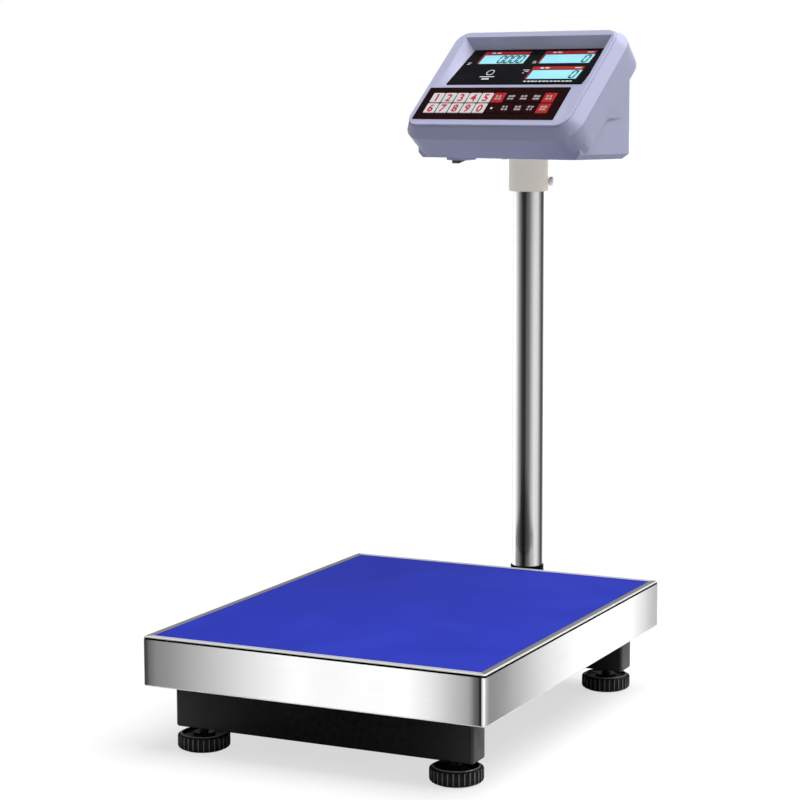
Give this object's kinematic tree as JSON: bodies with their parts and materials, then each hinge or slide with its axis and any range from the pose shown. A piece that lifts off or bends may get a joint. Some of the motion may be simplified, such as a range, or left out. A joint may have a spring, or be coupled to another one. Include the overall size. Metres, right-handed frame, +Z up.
{
  "type": "platform shipping scale",
  "caption": "Electronic platform scale: low flat weighing pan on a tube base with screw feet, and a sloped price and weight indicator head that swivels on a rear pole.",
  "frame": {"origin": "on the floor under the middle of the weighing pan", "axes": "+X to the user's right, +Y to the back where the pole stands, +Z up"},
  "size_m": [0.4, 0.6534, 0.7746],
  "materials": {
    "black_paint": "satin",
    "black_plastic": "satin",
    "zinc_steel": "zinc plated",
    "polished_steel": "polished stainless tube",
    "black_rubber": "matte",
    "cell_aluminium": "machined",
    "brushed_steel": "brushed stainless sheet",
    "blue_sheet": "satin blue sheet",
    "cream_plastic": "satin",
    "lavender_plastic": "satin moulded",
    "black_acrylic": "gloss",
    "lcd_glass": "pale blue display",
    "maroon_film": "printed film",
    "green_board": "solder mask",
    "battery_case": "satin",
    "clamp_brass": "turned",
    "white_key": "printed film",
    "red_key": "printed film",
    "dark_key": "printed film"
  },
  "bodies": {
    "base": {"front_crossbar": "black_paint", "rear_crossbar": "black_paint", "spine_beam": "black_paint", "crossbar_end_caps": "black_plastic", "foot_weld_nuts": "zinc_steel", "cell_base_bolts": "zinc_steel", "overload_stops": "zinc_steel", "pole_bracket": "black_paint", "pole_bracket_bolts": "zinc_steel", "pole": "polished_steel", "pole_collar": "black_paint", "signal_cable": "black_rubber", "load_cell": "cell_aluminium"},
    "carrier": {"carrier_frame": "black_paint", "cell_top_screws": "zinc_steel", "pan_bumpers": "black_rubber"},
    "weighing_pan": {"pan": "brushed_steel", "blue_top_sheet": "blue_sheet"},
    "head": {"head_socket": "cream_plastic", "front_cover": "lavender_plastic", "rear_cover": "lavender_plastic", "display_window": "black_acrylic", "lcd_panels": "lcd_glass", "keypad_overlay": "maroon_film", "main_board": "green_board", "battery": "battery_case", "battery_door": "lavender_plastic", "power_inlet": "black_plastic", "head_screws": "zinc_steel"},
    "clamp_tip": {"clamp_pad": "clamp_brass"},
    "clamp": {"clamp_screw": "zinc_steel"},
    "rocker": {"power_rocker": "black_plastic"},
    "foot_1_pad": {"foot_pad_1": "black_rubber"},
    "foot_1_knob": {"foot_knob_1": "black_plastic"},
    "foot_2_pad": {"foot_pad_2": "black_rubber"},
    "foot_2_knob": {"foot_knob_2": "black_plastic"},
    "foot_3_pad": {"foot_pad_3": "black_rubber"},
    "foot_3_knob": {"foot_knob_3": "black_plastic"},
    "foot_4_pad": {"foot_pad_4": "black_rubber"},
    "foot_4_knob": {"foot_knob_4": "black_plastic"},
    "key_1_cap": {"key_1": "white_key"},
    "key_2_cap": {"key_2": "white_key"},
    "key_3_cap": {"key_3": "white_key"},
    "key_4_cap": {"key_4": "white_key"},
    "key_5_cap": {"key_5": "white_key"},
    "key_clear_cap": {"key_clear": "red_key"},
    "key_tare_cap": {"key_tare": "dark_key"},
    "key_zero_cap": {"key_zero": "dark_key"},
    "key_store_cap": {"key_store": "dark_key"},
    "key_add_cap": {"key_add": "red_key"},
    "key_6_cap": {"key_6": "white_key"},
    "key_7_cap": {"key_7": "white_key"},
    "key_8_cap": {"key_8": "white_key"},
    "key_9_cap": {"key_9": "white_key"},
    "key_0_cap": {"key_0": "white_key"},
    "key_point_cap": {"key_point": "dark_key"},
    "key_recall_cap": {"key_recall": "dark_key"},
    "key_unit_cap": {"key_unit": "dark_key"},
    "key_count_cap": {"key_count": "dark_key"},
    "key_total_cap": {"key_total": "red_key"}
  },
  "joints": [
    {"name": "platform_sink", "type": "slide", "parent": "base", "child": "carrier", "axis": [0, 0, -1], "range_m": [0, 0.0008], "stiffness_N_per_m": 1600000, "springref_m": -0.00007, "deforming": ["load_cell"]},
    {"name": "pan_lift", "type": "slide", "parent": "carrier", "child": "weighing_pan", "axis": [0, 0, 1], "range_m": [0, 0.12]},
    {"name": "head_swivel", "type": "hinge", "parent": "base", "child": "head", "pos_m": [0, 0.322, 0.6], "axis": [0, 0, 1], "range_deg": [-77, 103]},
    {"name": "clamp_tip_slide", "type": "slide", "parent": "head", "child": "clamp_tip", "axis": [0.9563, 0.2924, 0], "range_m": [0, 0.002]},
    {"name": "clamp_turn", "type": "hinge", "parent": "clamp_tip", "child": "clamp", "pos_m": [0.02486, 0.3296, 0.593], "axis": [0.9563, 0.2924, 0], "range_deg": [0, 720.6]},
    {"name": "power_switch", "type": "hinge", "parent": "head", "child": "rocker", "pos_m": [-0.08215, 0.30402, 0.6212], "axis": [0.9744, -0.225, 0], "range_deg": [-16, 0]},
    {"name": "foot_1_height", "type": "slide", "parent": "base", "child": "foot_1_pad", "axis": [0, 0, -1], "range_m": [0, 0.01501]},
    {"name": "foot_1_turn", "type": "hinge", "parent": "foot_1_pad", "child": "foot_1_knob", "pos_m": [-0.15, -0.21, 0.012], "axis": [0, 0, -1], "range_deg": [0, 3600]},
    {"name": "foot_2_height", "type": "slide", "parent": "base", "child": "foot_2_pad", "axis": [0, 0, -1], "range_m": [0, 0.01501]},
    {"name": "foot_2_turn", "type": "hinge", "parent": "foot_2_pad", "child": "foot_2_knob", "pos_m": [0.15, -0.21, 0.012], "axis": [0, 0, -1], "range_deg": [0, 3600]},
    {"name": "foot_3_height", "type": "slide", "parent": "base", "child": "foot_3_pad", "axis": [0, 0, -1], "range_m": [0, 0.01501]},
    {"name": "foot_3_turn", "type": "hinge", "parent": "foot_3_pad", "child": "foot_3_knob", "pos_m": [-0.15, 0.21, 0.012], "axis": [0, 0, -1], "range_deg": [0, 3600]},
    {"name": "foot_4_height", "type": "slide", "parent": "base", "child": "foot_4_pad", "axis": [0, 0, -1], "range_m": [0, 0.01501]},
    {"name": "foot_4_turn", "type": "hinge", "parent": "foot_4_pad", "child": "foot_4_knob", "pos_m": [0.15, 0.21, 0.012], "axis": [0, 0, -1], "range_deg": [0, 3600]},
    {"name": "key_1_press", "type": "slide", "parent": "head", "child": "key_1_cap", "axis": [0.1591, 0.689, -0.7071], "range_m": [0, 0.0005], "stiffness_N_per_m": 150, "springref_m": -0.002},
    {"name": "key_2_press", "type": "slide", "parent": "head", "child": "key_2_cap", "axis": [0.1591, 0.689, -0.7071], "range_m": [0, 0.0005], "stiffness_N_per_m": 150, "springref_m": -0.002},
    {"name": "key_3_press", "type": "slide", "parent": "head", "child": "key_3_cap", "axis": [0.1591, 0.689, -0.7071], "range_m": [0, 0.0005], "stiffness_N_per_m": 150, "springref_m": -0.002},
    {"name": "key_4_press", "type": "slide", "parent": "head", "child": "key_4_cap", "axis": [0.1591, 0.689, -0.7071], "range_m": [0, 0.0005], "stiffness_N_per_m": 150, "springref_m": -0.002},
    {"name": "key_5_press", "type": "slide", "parent": "head", "child": "key_5_cap", "axis": [0.1591, 0.689, -0.7071], "range_m": [0, 0.0005], "stiffness_N_per_m": 150, "springref_m": -0.002},
    {"name": "key_clear_press", "type": "slide", "parent": "head", "child": "key_clear_cap", "axis": [0.1591, 0.689, -0.7071], "range_m": [0, 0.0005], "stiffness_N_per_m": 150, "springref_m": -0.002},
    {"name": "key_tare_press", "type": "slide", "parent": "head", "child": "key_tare_cap", "axis": [0.1591, 0.689, -0.7071], "range_m": [0, 0.0005], "stiffness_N_per_m": 150, "springref_m": -0.002},
    {"name": "key_zero_press", "type": "slide", "parent": "head", "child": "key_zero_cap", "axis": [0.1591, 0.689, -0.7071], "range_m": [0, 0.0005], "stiffness_N_per_m": 150, "springref_m": -0.002},
    {"name": "key_store_press", "type": "slide", "parent": "head", "child": "key_store_cap", "axis": [0.1591, 0.689, -0.7071], "range_m": [0, 0.0005], "stiffness_N_per_m": 150, "springref_m": -0.002},
    {"name": "key_add_press", "type": "slide", "parent": "head", "child": "key_add_cap", "axis": [0.1591, 0.689, -0.7071], "range_m": [0, 0.0005], "stiffness_N_per_m": 150, "springref_m": -0.002},
    {"name": "key_6_press", "type": "slide", "parent": "head", "child": "key_6_cap", "axis": [0.1591, 0.689, -0.7071], "range_m": [0, 0.0005], "stiffness_N_per_m": 150, "springref_m": -0.002},
    {"name": "key_7_press", "type": "slide", "parent": "head", "child": "key_7_cap", "axis": [0.1591, 0.689, -0.7071], "range_m": [0, 0.0005], "stiffness_N_per_m": 150, "springref_m": -0.002},
    {"name": "key_8_press", "type": "slide", "parent": "head", "child": "key_8_cap", "axis": [0.1591, 0.689, -0.7071], "range_m": [0, 0.0005], "stiffness_N_per_m": 150, "springref_m": -0.002},
    {"name": "key_9_press", "type": "slide", "parent": "head", "child": "key_9_cap", "axis": [0.1591, 0.689, -0.7071], "range_m": [0, 0.0005], "stiffness_N_per_m": 150, "springref_m": -0.002},
    {"name": "key_0_press", "type": "slide", "parent": "head", "child": "key_0_cap", "axis": [0.1591, 0.689, -0.7071], "range_m": [0, 0.0005], "stiffness_N_per_m": 150, "springref_m": -0.002},
    {"name": "key_point_press", "type": "slide", "parent": "head", "child": "key_point_cap", "axis": [0.1591, 0.689, -0.7071], "range_m": [0, 0.0005], "stiffness_N_per_m": 150, "springref_m": -0.002},
    {"name": "key_recall_press", "type": "slide", "parent": "head", "child": "key_recall_cap", "axis": [0.1591, 0.689, -0.7071], "range_m": [0, 0.0005], "stiffness_N_per_m": 150, "springref_m": -0.002},
    {"name": "key_unit_press", "type": "slide", "parent": "head", "child": "key_unit_cap", "axis": [0.1591, 0.689, -0.7071], "range_m": [0, 0.0005], "stiffness_N_per_m": 150, "springref_m": -0.002},
    {"name": "key_count_press", "type": "slide", "parent": "head", "child": "key_count_cap", "axis": [0.1591, 0.689, -0.7071], "range_m": [0, 0.0005], "stiffness_N_per_m": 150, "springref_m": -0.002},
    {"name": "key_total_press", "type": "slide", "parent": "head", "child": "key_total_cap", "axis": [0.1591, 0.689, -0.7071], "range_m": [0, 0.0005], "stiffness_N_per_m": 150, "springref_m": -0.002}
  ],
  "couplings": [
    {"joint": "clamp_turn", "follows": "clamp_tip_slide", "rad_per_m": 6283.2},
    {"joint": "foot_1_height", "follows": "foot_1_turn", "m_per_rad": 0.00023873},
    {"joint": "foot_2_height", "follows": "foot_2_turn", "m_per_rad": 0.00023873},
    {"joint": "foot_3_height", "follows": "foot_3_turn", "m_per_rad": 0.00023873},
    {"joint": "foot_4_height", "follows": "foot_4_turn", "m_per_rad": 0.00023873}
  ]
}
